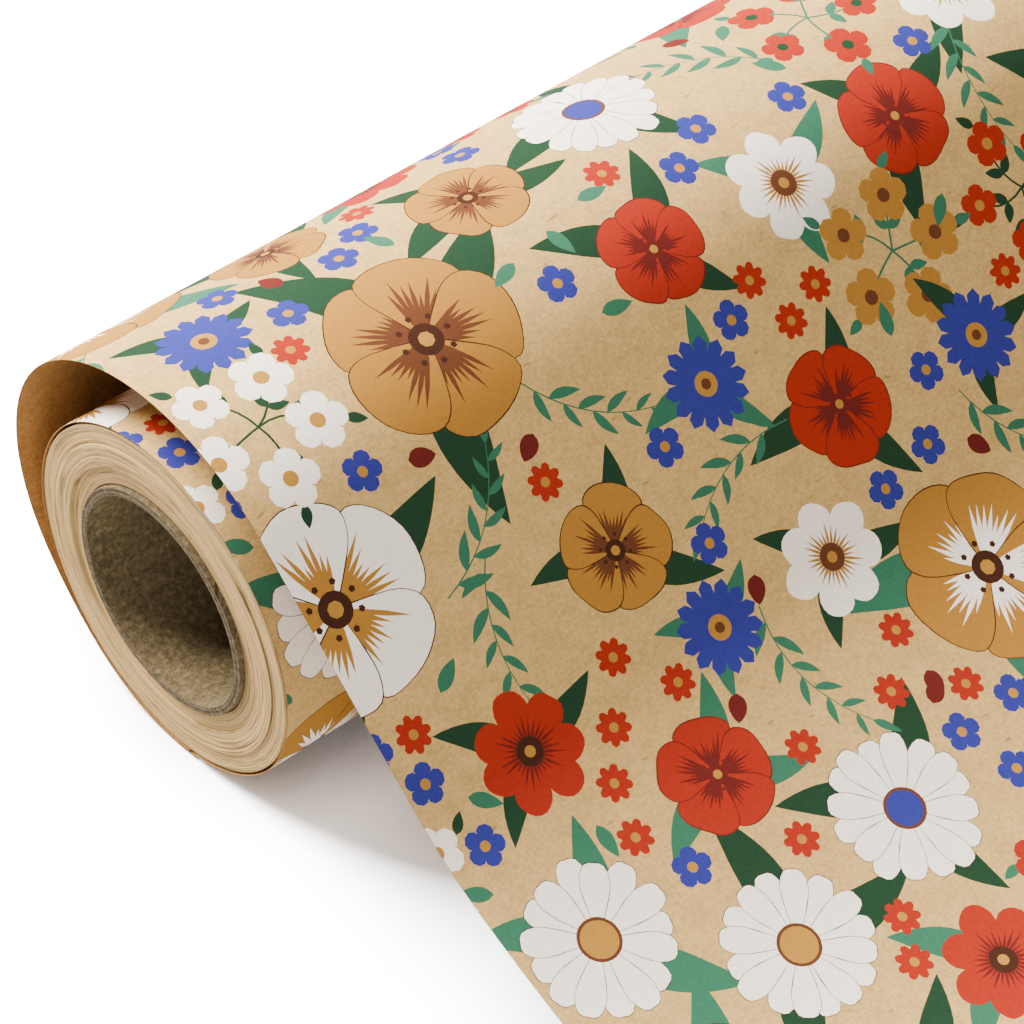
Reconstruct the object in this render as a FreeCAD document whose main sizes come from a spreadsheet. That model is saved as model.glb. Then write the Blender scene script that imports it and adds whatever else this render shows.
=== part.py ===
import FreeCAD, Part

import math
import os

import Sketcher

# Wrapping paper roll: a chipboard core wound with printed paper, with one loose turn
# drawn off the roll, sloping down to the table and lying flat at its free end.
# Frame: +X along the core, the sheet is drawn off towards -Y, +Z up.
# The origin is the centre of the core's bore. All sizes are in millimetres and degrees.

DIMENSIONS = [
    ("web_width", 444.5, "width of the paper, 17.5 in"),
    ("core_length", 446.2, "the core stands a little proud of the paper at both ends"),
    ("bore_radius", 25.0, "inside of the core"),
    ("ply_thickness", 0.525, "one spiral-wound chipboard ply"),
    ("strip_thickness", 0.2, "double-sided starter strip that holds the first turn"),
    ("strip_span", 30.0, "degrees of core covered by the starter strip"),
    ("inner_turns_radius", 31.4, "outside of the tight inner turns"),
    ("middle_turns_radius", 36.8, "outside of the middle turns"),
    ("outer_turns_radius", 41.4, "outside of the outer turns"),
    ("pack_radius", 42.0, "outside of the whole wound pack"),
    ("inner_turns_shift", 0.5, "telescoping of the inner turns along +X"),
    ("middle_turns_shift", -0.2, "telescoping of the middle turns"),
    ("outer_turns_shift", 0.15, "telescoping of the outer turns"),
    ("outside_turn_shift", 0.0, "telescoping of the outside turn"),
    ("sheet_thickness", 0.4, "stands in for 0.1 mm paper"),
    ("running_gap", 0.3, "air between the pack and the loose turn"),
    ("hug_start", -80.0, "degrees, where the loose turn leaves the pack's underside"),
    ("hug_end", -130.0, "degrees, where the loose turn lifts off the pack"),
    ("lift_radius", 75.0, "slack arc at the back of the loop"),
    ("lift_span", 19.0, "degrees"),
    ("back_radius", 45.2, "back and top of the loop"),
    ("back_span", 78.0, "degrees"),
    ("crest_radius", 53.1, "crest of the loop, down to the slope"),
    ("crest_span", 85.0, "degrees"),
    ("slope_length", 62.6, "straight part of the slope"),
    ("knee_radius", 91.3, "first part of the run-out to the table"),
    ("knee_span", 15.0, "degrees"),
    ("apron_length", 7.0, "flat sheet between touchdown and the lifting line"),
    ("hinge_gap", 0.6, "air at the lifting line"),
    ("leader_length", 70.0, "flat free end beyond the lifting line"),
]

doc = FreeCAD.newDocument("wrapping_paper_roll")
sheet = doc.addObject("Spreadsheet::Sheet", "dims")
for row, (alias, value, note) in enumerate(DIMENSIONS, start=1):
    sheet.set("A%d" % row, alias)
    sheet.set("B%d" % row, "%g" % value)
    sheet.set("C%d" % row, note)
    sheet.setAlias("B%d" % row, alias)
doc.recompute()
D = {alias: value for alias, value, note in DIMENSIONS}


def origin_plane(body, role):
    """The body's own origin plane with the given role."""
    return next(f for f in body.Origin.OriginFeatures if f.Role == role)


def new_sketch(body, name, role="YZ_Plane"):
    """A sketch attached flat to one of the body's origin planes."""
    sketch = body.newObject("Sketcher::SketchObject", name)
    sketch.AttachmentSupport = [(origin_plane(body, role), "")]
    sketch.MapMode = "FlatFace"
    return sketch


def bound(sketch, constraint, expression):
    """Add a dimension to the sketch and drive it from the spreadsheet."""
    index = sketch.addConstraint(constraint)
    sketch.setExpression("Constraints[%d]" % index, expression)


def pad_symmetric(body, sketch, name, length):
    """Pad the sketch evenly both ways along X."""
    pad = body.newObject("PartDesign::Pad", name)
    pad.Profile = sketch
    pad.Midplane = True
    pad.setExpression("Length", length)
    sketch.Visibility = False
    return pad


def tube(label, inner, outer, length, shift=None):
    """A tube along X between two radii given as spreadsheet expressions."""
    body = doc.addObject("PartDesign::Body", label)
    body.Label = label
    sketch = new_sketch(body, label + "_rings")
    for radius, size in ((inner, 20.0), (outer, 40.0)):
        ring = sketch.addGeometry(Part.Circle(FreeCAD.Vector(), FreeCAD.Vector(0, 0, 1), size))
        sketch.addConstraint(Sketcher.Constraint("Coincident", ring, 3, -1, 1))
        bound(sketch, Sketcher.Constraint("Radius", ring, size), radius)
    pad_symmetric(body, sketch, label + "_pad", length)
    body.Placement = FreeCAD.Placement()
    if shift:
        body.setExpression("Placement.Base.x", shift)
    return body


def polar(radius, degrees):
    """A point in the sketch plane at a radius and an angle."""
    angle = math.radians(degrees)
    return FreeCAD.Vector(radius * math.cos(angle), radius * math.sin(angle), 0)


def arc(centre, radius, start, span):
    """A counter-clockwise arc of the given span in degrees."""
    circle = Part.Circle(centre, FreeCAD.Vector(0, 0, 1), radius)
    return Part.ArcOfCircle(circle, math.radians(start), math.radians(start + span))


parts = []

# Core: four chipboard plies, one inside the other.
for ply in range(4):
    parts.append(tube(
        "core_ply_%d" % (ply + 1),
        "dims.bore_radius + %d * dims.ply_thickness" % ply,
        "dims.bore_radius + %d * dims.ply_thickness" % (ply + 1),
        "dims.core_length",
    ))

# Starter strip between the core and the first turn.
core_radius = "(dims.bore_radius + 4 * dims.ply_thickness)"
first_radius = "(dims.bore_radius + 4 * dims.ply_thickness + dims.strip_thickness)"
strip = doc.addObject("PartDesign::Body", "starter_strip")
strip.Label = "starter_strip"
strip_sketch = new_sketch(strip, "starter_strip_profile")
strip_inner = D["bore_radius"] + 4 * D["ply_thickness"]
strip_outer = strip_inner + D["strip_thickness"]
low = 90.0 - D["strip_span"] / 2
high = 90.0 + D["strip_span"] / 2
inner_arc = strip_sketch.addGeometry(arc(FreeCAD.Vector(), strip_inner, low, D["strip_span"]))
outer_arc = strip_sketch.addGeometry(arc(FreeCAD.Vector(), strip_outer, low, D["strip_span"]))
side_low = strip_sketch.addGeometry(Part.LineSegment(polar(strip_inner, low), polar(strip_outer, low)))
side_high = strip_sketch.addGeometry(Part.LineSegment(polar(strip_outer, high), polar(strip_inner, high)))
for first, first_end, second, second_end in (
    (inner_arc, 1, side_low, 1),
    (side_low, 2, outer_arc, 1),
    (outer_arc, 2, side_high, 1),
    (side_high, 2, inner_arc, 2),
):
    strip_sketch.addConstraint(Sketcher.Constraint("Coincident", first, first_end, second, second_end))
for edge in (inner_arc, outer_arc):
    strip_sketch.addConstraint(Sketcher.Constraint("Coincident", edge, 3, -1, 1))
bound(strip_sketch, Sketcher.Constraint("Radius", inner_arc, strip_inner), core_radius)
bound(strip_sketch, Sketcher.Constraint("Radius", outer_arc, strip_outer), first_radius)
pad_symmetric(strip, strip_sketch, "starter_strip_pad", "dims.web_width - 4")
strip.Placement = FreeCAD.Placement()
parts.append(strip)

# The wound turns, in bands that have telescoped slightly along the core.
for label, inner, outer, shift in (
    ("inner_turns", first_radius, "dims.inner_turns_radius", "dims.inner_turns_shift"),
    ("middle_turns", "dims.inner_turns_radius", "dims.middle_turns_radius", "dims.middle_turns_shift"),
    ("outer_turns", "dims.middle_turns_radius", "dims.outer_turns_radius", "dims.outer_turns_shift"),
    ("outside_turn", "dims.outer_turns_radius", "dims.pack_radius", "dims.outside_turn_shift"),
):
    parts.append(tube(label, inner, outer, "dims.web_width", shift))

# Drawn sheet. Its inner face is one chain of tangent arcs and lines in the YZ plane. The chain
# starts under the pack, climbs the +Y side, goes over the top and runs down to the table.
# Angles are measured from -Y towards +Z, so the sketch's horizontal axis is mirrored.
hug_radius = D["pack_radius"] + D["running_gap"]
flat = -hug_radius


def flip(point):
    """Mirror a chain point into the YZ sketch, whose horizontal axis is +Y."""
    return FreeCAD.Vector(-point.x, point.y, 0)


def mirrored_arc(centre, radius, start, span):
    """An arc that runs clockwise from start by span when seen with -Y to the right."""
    return arc(flip(centre), radius, 180.0 - start, span)


chain = [(FreeCAD.Vector(), hug_radius, D["hug_start"], D["hug_start"] - D["hug_end"])]
for radius, span in (
    (D["lift_radius"], D["lift_span"]),
    (D["back_radius"], D["back_span"]),
    (D["crest_radius"], D["crest_span"]),
):
    centre, last_radius, start, last_span = chain[-1]
    joint = start - last_span
    chain.append((centre + polar(last_radius - radius, joint), radius, joint, span))
centre, radius, start, span = chain[-1]
slope = start - span - 90.0
slope_top = centre + polar(radius, start - span)
slope_foot = slope_top + polar(D["slope_length"], slope)
knee_centre = slope_foot + polar(D["knee_radius"], slope + 90.0)
knee_end = knee_centre + polar(D["knee_radius"], slope - 90.0 + D["knee_span"])
run_span = -(slope + D["knee_span"]) % 360.0
run_radius = (knee_end.y - flat) / (1.0 - math.cos(math.radians(run_span)))
touchdown = knee_end.x + run_radius * math.sin(math.radians(run_span))
run_centre = FreeCAD.Vector(touchdown, flat + run_radius, 0)


path = doc.addObject("Sketcher::SketchObject", "drawn_sheet_path")
path.Placement = FreeCAD.Placement(
    FreeCAD.Vector(), FreeCAD.Rotation(FreeCAD.Vector(1, 1, 1), 120)
)
hug_arc, lift_arc, back_arc, crest_arc = [
    path.addGeometry(mirrored_arc(*segment)) for segment in chain
]
slope_line = path.addGeometry(Part.LineSegment(flip(slope_top), flip(slope_foot)))
knee_start = 270.0 - slope - D["knee_span"]
knee_arc = path.addGeometry(arc(flip(knee_centre), D["knee_radius"], knee_start, D["knee_span"]))
run_arc = path.addGeometry(arc(flip(run_centre), run_radius, 270.0, run_span))
apron_line = path.addGeometry(Part.LineSegment(
    FreeCAD.Vector(-touchdown, flat, 0),
    FreeCAD.Vector(-touchdown - D["apron_length"], flat, 0),
))
for first, first_end, second, second_end in (
    (hug_arc, 2, lift_arc, 1),
    (lift_arc, 2, back_arc, 1),
    (back_arc, 2, crest_arc, 1),
    (crest_arc, 2, slope_line, 1),
    (slope_line, 2, knee_arc, 2),
    (knee_arc, 1, run_arc, 2),
    (run_arc, 1, apron_line, 1),
):
    path.addConstraint(Sketcher.Constraint("Tangent", first, first_end, second, second_end))
path.addConstraint(Sketcher.Constraint("Coincident", hug_arc, 3, -1, 1))
path.addConstraint(Sketcher.Constraint("Horizontal", apron_line))
hug_expression = "(dims.pack_radius + dims.running_gap)"
for edge, radius, expression in (
    (hug_arc, hug_radius, hug_expression),
    (lift_arc, D["lift_radius"], "dims.lift_radius"),
    (back_arc, D["back_radius"], "dims.back_radius"),
    (crest_arc, D["crest_radius"], "dims.crest_radius"),
    (knee_arc, D["knee_radius"], "dims.knee_radius"),
):
    bound(path, Sketcher.Constraint("Radius", edge, radius), expression)
for edge, span, expression in (
    (hug_arc, chain[0][3], "dims.hug_start - dims.hug_end"),
    (lift_arc, D["lift_span"], "dims.lift_span"),
    (back_arc, D["back_span"], "dims.back_span"),
    (crest_arc, D["crest_span"], "dims.crest_span"),
    (knee_arc, D["knee_span"], "dims.knee_span"),
):
    bound(path, Sketcher.Constraint("Angle", edge, math.radians(span)), expression)
start_x = hug_radius * math.cos(math.radians(D["hug_start"]))
bound(
    path,
    Sketcher.Constraint("DistanceX", hug_arc, 1, -1, 1, start_x),
    hug_expression + " * cos(dims.hug_start)",
)
bound(path, Sketcher.Constraint("DistanceY", apron_line, 2, -1, 1, hug_radius), hug_expression)
bound(path, Sketcher.Constraint("Distance", slope_line, D["slope_length"]), "dims.slope_length")
bound(path, Sketcher.Constraint("Distance", apron_line, D["apron_length"]), "dims.apron_length")

skin = doc.addObject("Part::Extrusion", "drawn_sheet_skin")
skin.Base = path
skin.DirMode = "Custom"
skin.Dir = FreeCAD.Vector(1, 0, 0)
skin.setExpression("LengthFwd", "dims.web_width")
skin.Symmetric = True
skin.Solid = False

drawn = doc.addObject("Part::Offset", "drawn_sheet")
drawn.Label = "drawn_sheet"
drawn.Source = skin
drawn.setExpression("Value", "-dims.sheet_thickness")
drawn.Fill = True
drawn.Placement = FreeCAD.Placement()
parts.append(drawn)

# Leader: the flat free end, hinged to the drawn sheet at the lifting line.
leader = doc.addObject("Part::Box", "leader")
leader.Label = "leader"
leader.setExpression("Length", "dims.web_width")
leader.setExpression("Width", "dims.leader_length")
leader.setExpression("Height", "dims.sheet_thickness")
leader.Placement = FreeCAD.Placement()
leader.setExpression("Placement.Base.x", "-dims.web_width / 2")
leader.setExpression("Placement.Base.y", "-%.6f - dims.apron_length - dims.hinge_gap - dims.leader_length" % touchdown)
leader.setExpression("Placement.Base.z", "-(dims.pack_radius + dims.running_gap + dims.sheet_thickness)")
parts.append(leader)

doc.recompute()

for item in doc.Objects:
    if "Invalid" in item.State or "Error" in item.State:
        raise RuntimeError("%s did not recompute: %s" % (item.Name, item.State))
for item in parts:
    if item.Shape.isNull() or not item.Shape.isValid() or item.Shape.Volume <= 0:
        raise RuntimeError("%s has no valid solid" % item.Label)

os.makedirs("parts", exist_ok=True)
for item in parts:
    item.Shape.exportStep("parts/%s.step" % item.Label)
    box = item.Shape.BoundBox
    print("%-14s %10.1f mm3  X %8.2f %8.2f  Y %8.2f %8.2f  Z %7.2f %7.2f" % (
        item.Label, item.Shape.Volume, box.XMin, box.XMax, box.YMin, box.YMax, box.ZMin, box.ZMax,
    ))
print("lifting line at Y %.4f" % -(touchdown + D["apron_length"] + D["hinge_gap"] / 2))
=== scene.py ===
import math

import bpy
import numpy as np
from mathutils import Matrix, Vector
from mathutils.bvhtree import BVHTree
from mathutils.geometry import delaunay_2d_cdt

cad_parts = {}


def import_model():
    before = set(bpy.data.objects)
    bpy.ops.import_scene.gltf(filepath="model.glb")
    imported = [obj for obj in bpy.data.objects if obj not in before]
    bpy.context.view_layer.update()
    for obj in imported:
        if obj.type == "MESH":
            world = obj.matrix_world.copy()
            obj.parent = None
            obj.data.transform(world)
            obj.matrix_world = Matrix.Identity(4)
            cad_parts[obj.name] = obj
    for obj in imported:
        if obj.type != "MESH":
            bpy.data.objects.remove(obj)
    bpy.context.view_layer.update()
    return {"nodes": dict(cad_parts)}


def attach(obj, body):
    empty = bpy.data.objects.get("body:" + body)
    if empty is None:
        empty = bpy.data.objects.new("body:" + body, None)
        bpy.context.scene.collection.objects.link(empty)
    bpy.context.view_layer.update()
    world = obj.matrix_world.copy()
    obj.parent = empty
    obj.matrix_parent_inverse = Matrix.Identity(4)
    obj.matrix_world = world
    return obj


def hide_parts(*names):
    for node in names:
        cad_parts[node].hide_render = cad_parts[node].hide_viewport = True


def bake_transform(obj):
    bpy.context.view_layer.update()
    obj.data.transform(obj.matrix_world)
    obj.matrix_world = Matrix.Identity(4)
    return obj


bl_info = {
    "name": "Wrapping paper roll",
    "version": (1, 0, 0),
    "blender": (4, 5, 0),
    "location": "View3D > Sidebar > Wrap roll",
    "description": "Builds a roll of floral kraft wrapping paper on its packed frame",
    "category": "Object",
}

MM = 0.001
WEB_WIDTH = 444.5
CORE_LENGTH = 446.2
BORE_RADIUS = 25.0
PLY = 0.525
CORE_RADIUS = BORE_RADIUS + 4 * PLY
FIRST_TURN = CORE_RADIUS + 0.2
PACK_RADIUS = 42.0
TURN_PITCH = 0.105
HUG_RADIUS = 42.3
# the sheet: height of its back over the path, and where its bends end, in mm
SHEET_LIFT = 0.14
SHEET_CURVED = 205.0
SHEET_FINE = (330.0, 118.0)
# the pack's outside turn: outer radius, span along the web and where its bends end, in mm
PACK_OUTER = 41.98
PACK_SPAN = (-262.0, -0.4)
PACK_CURVED = -0.6
PACK_FINE = (40.0, -262.0)
# the stage, in metres and watts
FLOOR = 4.0
FLOOR_Z = -0.0428
LIGHTS = (
    ("key", (-0.52, 1.30, 1.34), 1.1, 276.0),
    ("fill", (-0.62, -0.66, 0.34), 0.45, 3.9),
)
LIT_POINT = (-0.08, -0.05, 0.0)
WORLD_STRENGTH = 0.16
FOCAL_LENGTH = 140.6
CAMERA_PLACE = (
    (0.7521, 0.4545, -0.4770, -0.55855),
    (-0.6590, 0.5188, -0.5443, -0.49510),
    (0.0001, 0.7237, 0.6901, 0.59200),
    (0.0, 0.0, 0.0, 1.0),
)

# ---------------------------------------------------------------- sheet's path


def arc_chain():
    """Segments of the drawn sheet's inner face in the (h, z) plane, h being -Y, in mm.
    Each is (length, point function); arcs are tangent to one another."""

    def polar(radius, degrees):
        angle = np.radians(degrees)
        return np.stack([radius * np.cos(angle), radius * np.sin(angle)], -1)

    segments = []
    centre, radius, start, span = np.zeros(2), HUG_RADIUS, -80.0, 50.0
    for next_radius, next_span in ((75.0, 19.0), (45.2, 78.0), (53.1, 85.0), (None, None)):
        segments.append((math.radians(span) * radius, centre, radius, start, -span, 1.0))
        if next_radius is None:
            break
        joint = start - span
        centre = centre + polar(radius - next_radius, joint)
        radius, start, span = next_radius, joint, next_span
    end = start - span
    slope = end - 90.0
    top = centre + polar(radius, end)
    segments.append((62.6, top, None, slope, 0.0, 1.0))
    foot = top + polar(62.6, slope)
    centre = foot + polar(91.3, slope + 90.0)
    segments.append((math.radians(15.0) * 91.3, centre, 91.3, slope - 90.0, 15.0, -1.0))
    knee = centre + polar(91.3, slope - 75.0)
    run = (-(slope + 15.0)) % 360.0
    radius = (knee[1] + HUG_RADIUS) / (1.0 - math.cos(math.radians(run)))
    centre = np.array([knee[0] + radius * math.sin(math.radians(run)), radius - HUG_RADIUS])
    segments.append((math.radians(run) * radius, centre, radius, -90.0 - run, run, -1.0))
    segments.append((77.6, np.array([centre[0], -HUG_RADIUS]), None, 0.0, 0.0, 1.0))
    return segments


CHAIN = arc_chain()
SHEET_LENGTH = sum(segment[0] for segment in CHAIN)
TOUCHDOWN = SHEET_LENGTH - 77.6


def sheet_path(along, lift):
    """Point and outward normal at distance along the sheet, lift mm outside the chain."""
    along = np.asarray(along, float)
    point = np.zeros(along.shape + (2,))
    normal = np.zeros(along.shape + (2,))
    start = 0.0
    for index, (length, anchor, radius, angle, span, side) in enumerate(CHAIN):
        inside = along >= start if index else np.ones(along.shape, bool)
        q = (along[inside] - start) / length
        if radius is None:
            heading = math.radians(angle)
            step = np.array([math.cos(heading), math.sin(heading)])
            across = np.array([-step[1], step[0]])
            point[inside] = anchor + (q * length)[:, None] * step + lift[inside, None] * across
            normal[inside] = across
        else:
            turn = np.radians(angle + span * q)
            ray = np.stack([np.cos(turn), np.sin(turn)], -1)
            point[inside] = anchor + (radius + side * lift[inside])[:, None] * ray
            normal[inside] = side * ray
        start += length
    return point, normal


# ---------------------------------------------------------------- inks and shapes

KRAFT = (0.0, 0.0, 0.0, 0.0)
INKS = {
    "red": (0.300, 0.017, 0.008),
    "wine": (0.105, 0.011, 0.010),
    "ochre": (0.335, 0.146, 0.022),
    "gold": (0.365, 0.168, 0.026),
    "brown": (0.100, 0.031, 0.013),
    "umber": (0.038, 0.012, 0.007),
    "white": (0.900, 0.775, 0.640),
    "blue": (0.024, 0.028, 0.190),
    "pine": (0.009, 0.036, 0.017),
    "green": (0.026, 0.118, 0.064),
}


def turned(shapes, u=0.0, s=0.0, angle=0.0, size=1.0):
    """Shapes scaled, turned by angle in degrees and moved to (u, s)."""
    a = math.radians(angle)
    turn = size * np.array([[math.cos(a), math.sin(a)], [-math.sin(a), math.cos(a)]])
    return [(points @ turn + (u, s), ink) for points, ink in shapes]


def smooth(points, count=3):
    """Closed curve through the points: a periodic Catmull-Rom spline, count samples a span."""
    b = np.asarray(points, float)
    a, c, d = np.roll(b, 1, 0), np.roll(b, -1, 0), np.roll(b, -2, 0)
    spans = []
    for t in np.arange(count) / count:
        cubic = (3 * b - a - 3 * c + d) * t**3
        spans.append(0.5 * (2 * b + (c - a) * t + (2 * a - 5 * b + 4 * c - d) * t**2 + cubic))
    return np.stack(spans, 1).reshape(-1, 2)


def ring(radius, count, lobes=0, depth=0.0, phase=0.0, squash=1.0):
    """Closed curve radius * (1 + depth * cos(lobes * angle + phase))."""
    a = np.linspace(0.0, 2.0 * math.pi, count, endpoint=False)
    r = radius * (1.0 + depth * np.cos(lobes * a + phase))
    return np.stack([r * np.cos(a), squash * r * np.sin(a)], -1)


def blade(length, width, bend=0.0, belly=0.5, count=8, blunt=1.0):
    """Leaf outline along +u: half-width width/2 * sin(pi t^k)^blunt about a parabolic midrib
    that bends sideways by bend at the middle; belly places the widest point."""
    t = np.linspace(0.0, 1.0, count + 1)
    k = math.log(0.5) / math.log(belly)
    half = 0.5 * width * np.sin(math.pi * t**k).clip(0.0) ** blunt
    mid = 4.0 * bend * t * (1.0 - t)
    upper = np.stack([length * t, mid + half], -1)
    lower = np.stack([length * t, mid - half], -1)[-2:0:-1]
    return np.concatenate([upper, lower])


def petal(length, width, count=6, belly=0.64, notch=0.0):
    """Egg-shaped petal from the origin along +u: half-width width/2 * sqrt(sin(pi t^k)) with
    samples crowded at the ends and a notch cut in the tip."""
    t = 0.5 - 0.5 * np.cos(np.linspace(0.0, math.pi, count + 1))
    k = math.log(0.5) / math.log(belly)
    half = 0.5 * width * np.sqrt(np.sin(math.pi * t**k).clip(0.0))
    u = length * (t - notch * np.exp(-(((t - 1.0) / 0.04) ** 2)))
    return np.concatenate([np.stack([u, half], -1), np.stack([u, -half], -1)[-2:0:-1]])


def lobe(length, width, seed, belly=0.70, rough=0.04, controls=7, count=3):
    """Broad petal with an uneven rim: points round an egg shape, pushed in and out at random
    and joined by a smooth closed curve."""
    rng = np.random.default_rng(seed)
    shape = petal(length, width, controls, belly)
    push = 1.0 + rough * rng.uniform(-1.0, 1.0, len(shape)) * np.clip(shape[:, 0] / length, 0.1, 1.0)
    return smooth(shape * push[:, None], count)


def stroke(path, start, end):
    """Ribbon along a path, with a width that runs from start to end."""
    path = np.asarray(path, float)
    step = np.gradient(path, axis=0)
    step /= np.linalg.norm(step, axis=1)[:, None] + 1e-9
    side = np.stack([-step[:, 1], step[:, 0]], -1)
    half = 0.5 * np.linspace(start, end, len(path))[:, None]
    return np.concatenate([path + half * side, (path - half * side)[::-1]])


def bow(a, b, sag, count=7):
    """Points on a parabola from a to b that bulges sideways by sag."""
    a, b = np.asarray(a, float), np.asarray(b, float)
    t = np.linspace(0.0, 1.0, count)[:, None]
    across = np.array([-(b - a)[1], (b - a)[0]]) / (np.linalg.norm(b - a) + 1e-9)
    return a + (b - a) * t + 4.0 * sag * t * (1.0 - t) * across


def heading(path, index):
    """Direction of a path at one of its points, in degrees."""
    step = np.gradient(path, axis=0)[index]
    return math.degrees(math.atan2(step[1], step[0]))


def whorl(shape, count, phase=0.0, ink="red", size=None):
    """Copies of one outline turned evenly about the origin."""
    sizes = np.ones(count) if size is None else size
    out = []
    for index in range(count):
        out += turned([(shape, ink)], angle=phase + 360.0 * index / count, size=sizes[index])
    return out


def outlined(shape, ink, edge, line=0.22, uneven=0.0):
    """An outline in the edge ink with the same shape, drawn in by line mm, on top. An uneven
    line swells and thins three times round the shape."""
    centre = shape.mean(0)
    reach = np.linalg.norm(shape - centre, axis=1)[:, None]
    swell = 1.0 + uneven * np.sin(np.linspace(0.0, 6.0 * math.pi, len(shape)) + reach.sum())[:, None]
    inner = centre + (shape - centre) * np.clip(1.0 - line * swell / np.maximum(reach, 0.8), 0.3, 1.0)
    return [(shape, edge), (inner, ink)]


# ---------------------------------------------------------------- flowers


def daisy(radius=18.0, petals=16, eye="gold", seed=1):
    """Plain white daisy with thin petal lines and a round eye."""
    rng = np.random.default_rng(seed)
    out = []
    for index in list(range(0, petals, 2)) + list(range(1, petals, 2)):
        reach = radius * rng.uniform(0.93, 1.04)
        shape = smooth(petal(reach, 5.6 * radius / petals, 6, 0.72, 0.04), 2)
        turn = 360.0 * index / petals + rng.uniform(-3, 3)
        out += turned(outlined(shape, "white", "umber", 0.19), angle=turn)
    out.append((ring(radius * 0.27, 24), "brown"))
    return out + [(ring(radius * 0.23, 24), eye)]


def bloom(radius, ink, ray, edge, seed, petals=5):
    """Open flower of rounded petals with a thin outline, plain rays and a dotted eye."""
    rng = np.random.default_rng(seed)
    out = []
    for index in range(petals):
        angle = 360.0 * index / petals + rng.uniform(-3, 3)
        shape = lobe(radius * rng.uniform(0.94, 1.04), 5.1 * radius / petals, seed + index, 0.68, 0.03, 6, 3)
        out += turned(outlined(shape, ink, edge, 0.26, 0.2), angle=angle)
        for lean in np.linspace(-115.0, 115.0, 7) / petals:
            reach = radius * rng.uniform(0.46, 0.74)
            out += turned([(blade(reach, radius * 0.055, count=3), ray)], angle=angle + lean)
    out.append((ring(radius * 0.17, 16), edge))
    for index in range(8):
        out += turned([(ring(radius * 0.035, 5) + (radius * 0.25, 0), edge)], angle=45.0 * index)
    return out + [(ring(radius * 0.08, 8), "gold")]


def round_petals(radius, petals, ink, dark, eye, seed):
    """Flower of round petals with fine dark rays and a round eye."""
    rng = np.random.default_rng(seed)
    out = []
    for index in range(petals):
        shape = lobe(radius * rng.uniform(0.94, 1.04), radius * 4.5 / petals, seed + index, 0.68, 0.03, 6, 2)
        out += turned([(shape, ink)], angle=360.0 * index / petals + rng.uniform(-3, 3))
    out.append((ring(radius * 0.34, 14), ink))
    for index in range(petals * 4):
        reach = radius * rng.uniform(0.42, 0.66)
        out += turned([(blade(reach, radius * 0.055, count=2), dark)], angle=90.0 * index / petals)
    return out + [(ring(radius * 0.24, 18), eye), (ring(radius * 0.10, 10), "gold")]


def aster(radius):
    """Plain blue flower of narrow petals round a gold eye."""
    out = whorl(petal(radius, radius * 0.36, 4, 0.70), 14, ink="blue")
    return out + [(ring(radius * 0.27, 16), "gold"), (ring(radius * 0.12, 10), "brown")]


def simple(radius, ink, eye, petals=5):
    """Plain small flower of round petals and a round eye."""
    out = whorl(petal(radius, 4.3 * radius / petals, 5, 0.66), petals, ink=ink)
    return out + [(ring(radius * 0.26, 12), eye)]


def hip(length=9.0, ink="wine"):
    """Pointed red bud."""
    return [(blade(length, length * 0.66, belly=0.42, count=8, blunt=0.7), ink)]


# ---------------------------------------------------------------- leaves and sprays


def leaf(length, width, ink="pine", bend=0.0, belly=0.42):
    """One plain leaf, with more points in a larger one."""
    return [(blade(length, width, bend, belly, 5 + int(length / 4), 0.9), ink)]


def sprig(length=38.0, ink="green", sag=5.0, pairs=4, size=9.0, spread=38.0, seed=91):
    """Curved stalk with alternate narrow leaflets, shorter towards the tip."""
    rng = np.random.default_rng(seed)
    path = bow((0, 0), (length, 0), sag, 2 * pairs + 3)
    out = [(stroke(path, 0.36, 0.22), ink)]
    for index in range(1, 2 * pairs + 2):
        side = 1 if index % 2 else -1
        reach = size * (1.0 - 0.30 * index / (2 * pairs + 2)) * rng.uniform(0.85, 1.1)
        lean = heading(path, index) + side * rng.uniform(0.8, 1.15) * spread
        out += turned(leaf(reach, 0.29 * reach, ink, 0.05 * reach * side), *path[index], lean)
    return out + turned(leaf(size * 0.8, size * 0.24, ink), *path[-1], heading(path, -1))


def cluster(places, flower, leaf_ink="pine", leaf_size=5.0, seed=111):
    """Small flowers at the given places on stalks from their middle, with leaves."""
    rng = np.random.default_rng(seed)
    centre = np.mean(places, axis=0)
    radius, ink, eye = flower
    stalks, heads = [], []
    for index, place in enumerate(places):
        path = bow(centre, place, rng.uniform(-2, 2), 6)
        stalks.append((stroke(path, 0.55, 0.5), leaf_ink))
        knot = int(rng.integers(2, 4))
        for side in (1, -1):
            lean = heading(path, knot) + side * rng.uniform(40, 60)
            stalks += turned(leaf(leaf_size, leaf_size * 0.5, leaf_ink), *path[knot], lean)
        away = np.array(place) - centre
        tip = np.array(place) + away / (np.linalg.norm(away) + 1e-6) * (radius - 0.8)
        lean = math.degrees(math.atan2(away[1], away[0])) + rng.uniform(-40, 40)
        stalks += turned(leaf(leaf_size, leaf_size * 0.5, leaf_ink), *tip, lean)
        size = radius * rng.uniform(0.88, 1.08)
        heads += turned(simple(size, ink, eye), *place, rng.uniform(0, 72))
    return stalks + heads


# ---------------------------------------------------------------- layout of one repeat

REPEAT_U = 238.0
REPEAT_S = 232.0
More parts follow.
